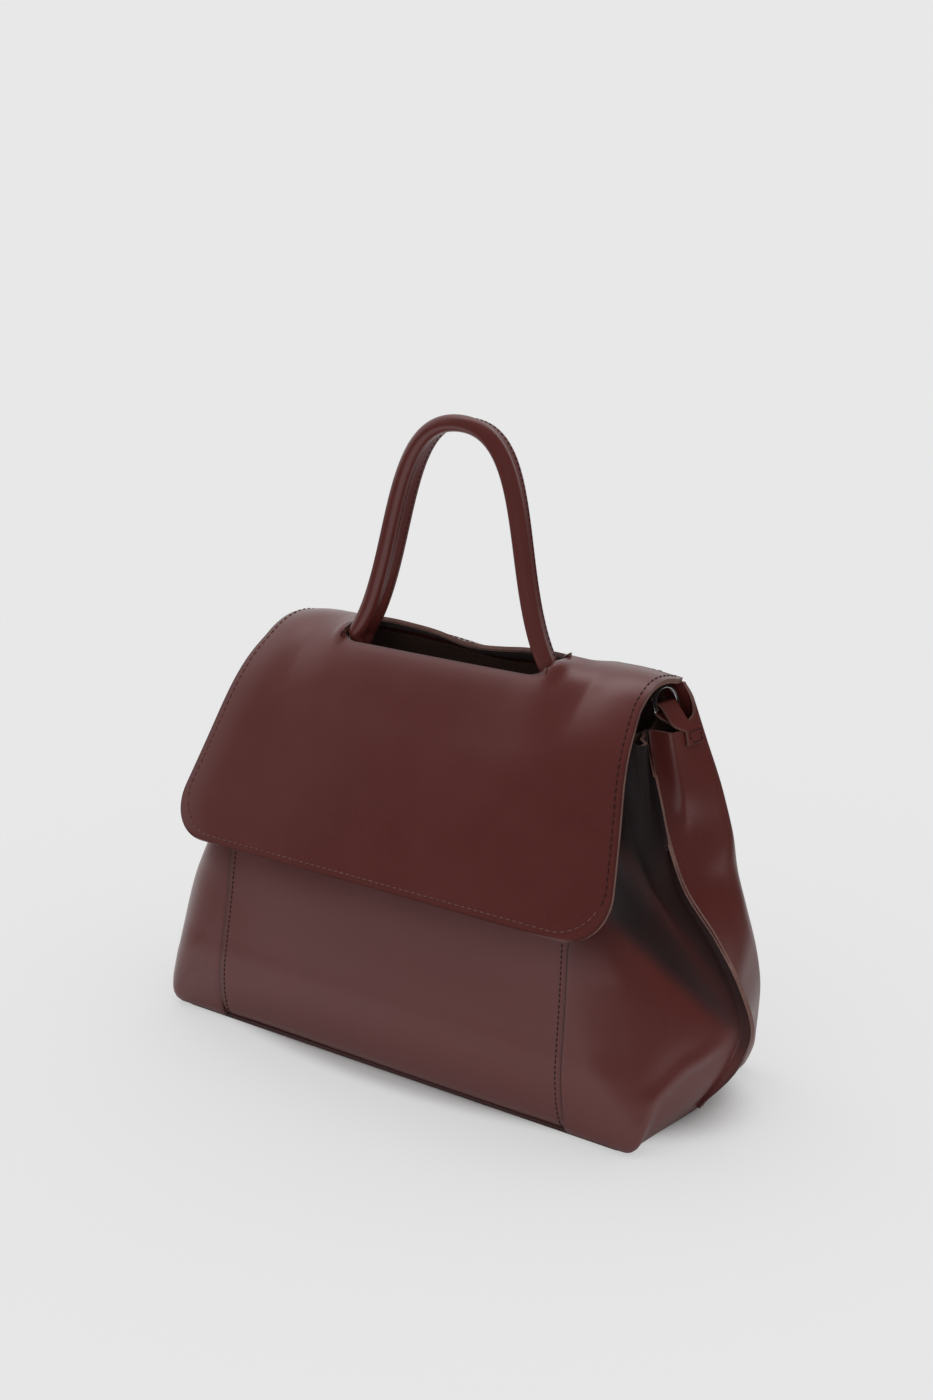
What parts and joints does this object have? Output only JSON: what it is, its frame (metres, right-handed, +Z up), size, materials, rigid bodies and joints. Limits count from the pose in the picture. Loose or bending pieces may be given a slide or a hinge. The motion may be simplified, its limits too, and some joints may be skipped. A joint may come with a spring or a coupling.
{
  "type": "crossbody bag",
  "caption": "Structured leather bag with a wide front flap, a slot in its crest for an arched top handle, folded side wings and a D-ring at each end.",
  "frame": {"origin": "centre of the base on the surface that the bag stands on", "axes": "front faces -Y, +X to the right seen from the front, +Z up"},
  "size_m": [0.409, 0.1554, 0.3771],
  "materials": {
    "leather": "smooth semi-gloss oxblood leather",
    "leather_edge": "oxblood leather with a raw cut edge",
    "lining": "brown suede-like lining",
    "board": "pressed fibre stiffener and cotton filler cord",
    "metal": "polished nickel-plated wire"
  },
  "bodies": {
    "bag": {"base_panel": "leather_edge", "base_board": "board", "floor_lining": "lining", "front_panel": "leather", "back_panel": "leather", "front_side_panel_left": "leather", "front_side_panel_right": "leather", "back_side_panel_left": "leather", "back_side_panel_right": "leather", "front_lining": "lining", "back_lining": "lining", "inner_pocket": "lining", "ring_tab_left": "leather", "ring_tab_right": "leather"},
    "flap": {"flap_leather": "leather", "flap_lining": "lining", "handle_tongue_left": "leather", "handle_tongue_right": "leather"},
    "handle": {"handle_leather": "leather", "handle_core": "board"},
    "ring_left": {"d_ring_left": "metal"},
    "ring_right": {"d_ring_right": "metal"}
  },
  "joints": [
    {"name": "flap_open", "type": "hinge", "parent": "bag", "child": "flap", "pos_m": [0, 0.03883, 0.2354], "axis": [-1, 0, 0], "range_deg": [0, 110]},
    {"name": "handle_tilt", "type": "hinge", "parent": "flap", "child": "handle", "pos_m": [0, -0.003, 0.2426], "axis": [1, 0, 0], "range_deg": [-40, 60]},
    {"name": "ring_left_swing", "type": "hinge", "parent": "bag", "child": "ring_left", "pos_m": [-0.12797, 0.024, 0.22354], "axis": [0.1698, -0.9855, 0], "range_deg": [-110, 110]},
    {"name": "ring_right_swing", "type": "hinge", "parent": "bag", "child": "ring_right", "pos_m": [0.12797, 0.024, 0.22354], "axis": [0.1698, 0.9855, 0], "range_deg": [-110, 110]}
  ]
}
